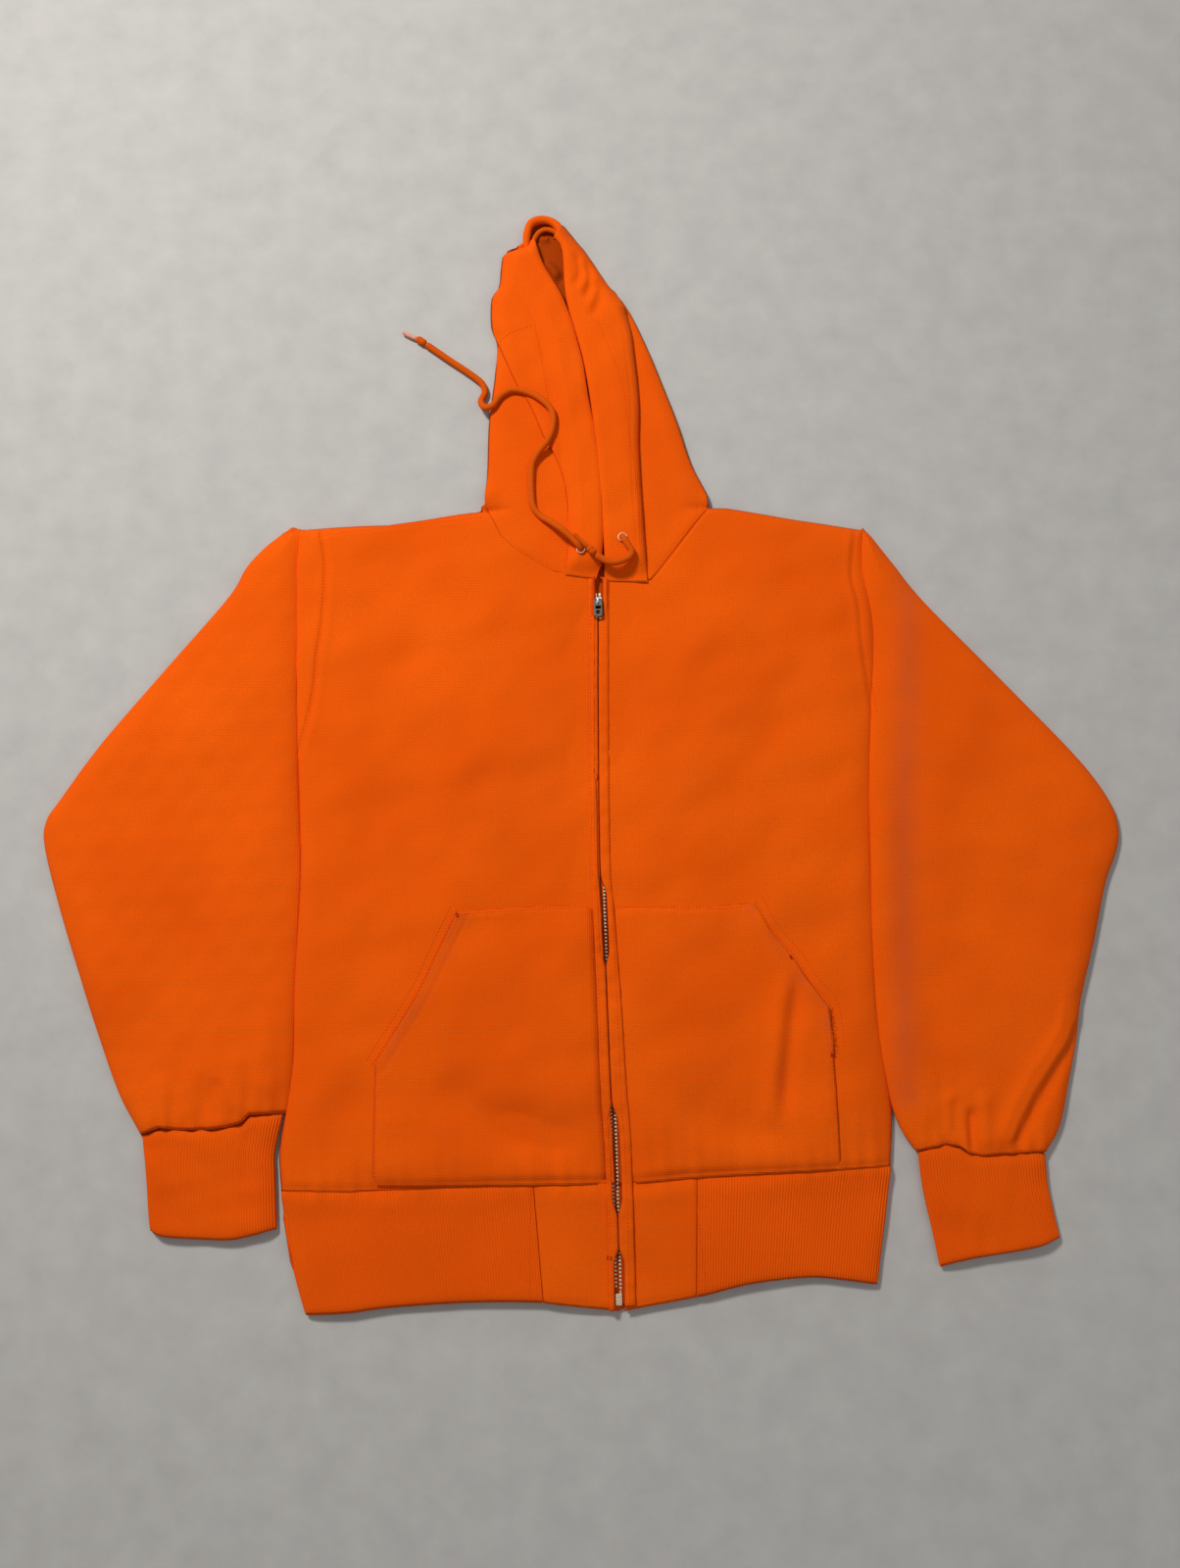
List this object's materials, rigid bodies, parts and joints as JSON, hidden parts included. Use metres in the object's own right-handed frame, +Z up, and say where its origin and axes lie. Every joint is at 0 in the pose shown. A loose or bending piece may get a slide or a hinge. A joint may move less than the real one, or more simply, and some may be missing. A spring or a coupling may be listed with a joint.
{
  "type": "hooded sweatshirt",
  "caption": "Blaze orange full-zip hooded sweatshirt laid flat, front up, with rib cuffs and waistband, kangaroo pockets, metal zip and a drawcord hood.",
  "frame": {"origin": "middle of the garment's outline, on the surface it lies on", "axes": "+Z up out of the surface, towards the garment's front; +Y from the waistband to the hood; +X towards the wearer's left"},
  "size_m": [0.9786, 1.026, 0.0296],
  "materials": {
    "fleece_body": "brushed-back cotton and polyester fleece, smooth knit face, blaze orange",
    "fleece_pocket": "the same fleece, single ply",
    "fleece_facing": "turned fleece edge with one row of topstitching",
    "fleece_sleeve": "the same fleece",
    "fleece_hood": "the same fleece, inside face brushed",
    "rib_knit": "vertical rib knit, folded double",
    "drawcord": "round braided cord",
    "cord_tip": "cord end sealed hard, paler",
    "eyelet": "rolled metal eyelet",
    "zip_tape": "woven tape",
    "zip_metal": "antique brass, worn bright on the tips",
    "zip_slider": "bright die-cast metal",
    "zip_pull": "dark plated metal"
  },
  "bodies": {
    "torso": {"back_panel": "fleece_body", "right_front_panel": "fleece_body", "left_front_panel": "fleece_body", "right_waistband_inset": "fleece_body", "left_waistband_inset": "fleece_body", "right_pocket": "fleece_pocket", "left_pocket": "fleece_pocket", "right_zip_facing": "fleece_facing", "left_zip_facing": "fleece_facing", "hood_right_panel": "fleece_hood", "hood_left_panel": "fleece_hood", "right_hood_hem": "fleece_hood", "left_hood_hem": "fleece_hood", "waistband_rib": "rib_knit", "drawcord_channel_run": "drawcord", "right_drawcord_end": "drawcord", "left_drawcord_end": "drawcord", "right_knot": "drawcord", "left_knot": "drawcord", "right_cord_tip": "cord_tip", "left_cord_tip": "cord_tip", "right_eyelet": "eyelet", "left_eyelet": "eyelet", "right_zip_tape": "zip_tape", "left_zip_tape": "zip_tape", "right_zip_teeth": "zip_metal", "left_zip_teeth": "zip_metal", "right_top_stop": "zip_metal", "left_top_stop": "zip_metal", "zip_box": "zip_metal", "zip_pin": "zip_metal"},
    "right_sleeve_body": {"right_sleeve": "fleece_sleeve", "right_cuff": "rib_knit"},
    "left_sleeve_body": {"left_sleeve": "fleece_sleeve", "left_cuff": "rib_knit"},
    "slider": {"zip_slider": "zip_slider"},
    "pull": {"zip_pull": "zip_pull"}
  },
  "joints": [
    {"name": "zip_slide", "type": "slide", "parent": "torso", "child": "slider", "axis": [0.0278, -0.9996, 0], "range_m": [0, 0.6]},
    {"name": "pull_flip", "type": "hinge", "parent": "slider", "child": "pull", "pos_m": [0.01436, 0.12, 0.0132], "axis": [-0.9996, -0.0278, 0], "range_deg": [0, 175]},
    {"name": "right_sleeve_fold", "type": "hinge", "parent": "torso", "child": "right_sleeve_body", "pos_m": [-0.26128, 0, 0.017], "axis": [0, 1, 0], "range_deg": [0, 180]},
    {"name": "left_sleeve_fold", "type": "hinge", "parent": "torso", "child": "left_sleeve_body", "pos_m": [0.26372, 0, 0.017], "axis": [0, -1, 0], "range_deg": [0, 180]}
  ]
}
